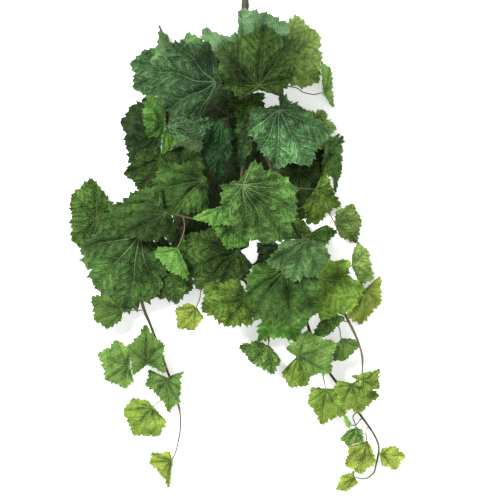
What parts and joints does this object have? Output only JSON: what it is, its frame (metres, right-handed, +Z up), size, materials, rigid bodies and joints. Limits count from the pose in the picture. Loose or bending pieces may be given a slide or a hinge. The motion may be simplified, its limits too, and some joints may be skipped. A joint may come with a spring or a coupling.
{
  "type": "grapevine",
  "caption": "Leafy grapevine bush laid on its back: a cut woody stem, forked trailing shoots and overlapping lobed, toothed leaves that get smaller and yellower towards the shoot tips.",
  "frame": {"origin": "on the surface that the bush lies on, under the middle of its box", "axes": "+Y runs from the shoot tips to the cut end of the stem, +X to the viewer's right and +Z up from the surface, towards the viewer"},
  "size_m": [0.5472, 0.8052, 0.181],
  "materials": {
    "bark": "matt grey-brown bark, redder and smoother on the thin shoots",
    "leaf_old": "deep bluish green blade with a paler vein net, soft sheen",
    "leaf_mid": "mid green blade with fine veins, soft sheen",
    "leaf_bright": "fresh light green blade, soft sheen",
    "leaf_young": "yellow-green young blade with dark main veins"
  },
  "bodies": {
    "root": {"main_stem": "bark", "shoot_left": "bark", "shoot_centre": "bark", "shoot_right": "bark", "shoot_right_low": "bark", "back_leaf_upper": "leaf_old", "back_leaf_lower": "leaf_old", "back_leaf_middle": "leaf_old", "inner_leaf_back": "leaf_old", "left_leaf_dark": "leaf_old", "upper_left_leaf_olive": "leaf_mid", "shoulder_leaf": "leaf_old", "left_leaf_veined": "leaf_mid", "right_leaf_shaded": "leaf_old", "right_edge_leaf": "leaf_old", "right_leaf_yellow": "leaf_young", "right_leaf_olive": "leaf_young", "right_leaf_small_dark": "leaf_old", "right_side_leaf_high": "leaf_mid", "right_side_leaf_low": "leaf_mid", "right_tip_leaf_yellow": "leaf_young", "middle_leaf_shaded": "leaf_old", "crown_leaf_right": "leaf_mid", "crown_leaf_back": "leaf_old", "arched_stalk_leaf": "leaf_mid", "inner_leaf_upper": "leaf_old", "inner_leaf_dark": "leaf_old", "narrow_hanging_leaf": "leaf_old", "left_leaf_arched": "leaf_mid", "left_leaf_wide": "leaf_mid", "left_leaf_bright": "leaf_bright", "left_leaf_bright_small": "leaf_bright", "left_leaf_crumpled": "leaf_old", "upper_left_leaf_large": "leaf_old", "far_left_leaf": "leaf_mid", "lower_left_leaf_dark": "leaf_old", "lower_left_leaf_large": "leaf_old", "left_leaf_shaded": "leaf_mid", "left_leaf_folded": "leaf_mid", "middle_leaf_dark": "leaf_old", "skirt_leaf_left": "leaf_mid", "skirt_leaf_bright": "leaf_bright", "skirt_leaf_right_dark": "leaf_old", "skirt_leaf_right": "leaf_mid", "skirt_leaf_middle": "leaf_old", "middle_leaf_right": "leaf_mid", "middle_leaf_bright": "leaf_bright", "heart_leaf_bright": "leaf_bright", "heart_leaf": "leaf_old", "front_leaf_right": "leaf_old", "crown_leaf_front": "leaf_old", "hanging_leaf_bright": "leaf_bright", "hanging_leaf_small": "leaf_young", "strand_left_leaf_1": "leaf_mid", "strand_left_leaf_2": "leaf_mid", "strand_left_leaf_3": "leaf_mid", "strand_right_leaf_1": "leaf_old", "strand_right_leaf_2": "leaf_bright", "strand_right_leaf_4": "leaf_bright", "strand_right_leaf_6": "leaf_mid"}
  },
  "joints": []
}
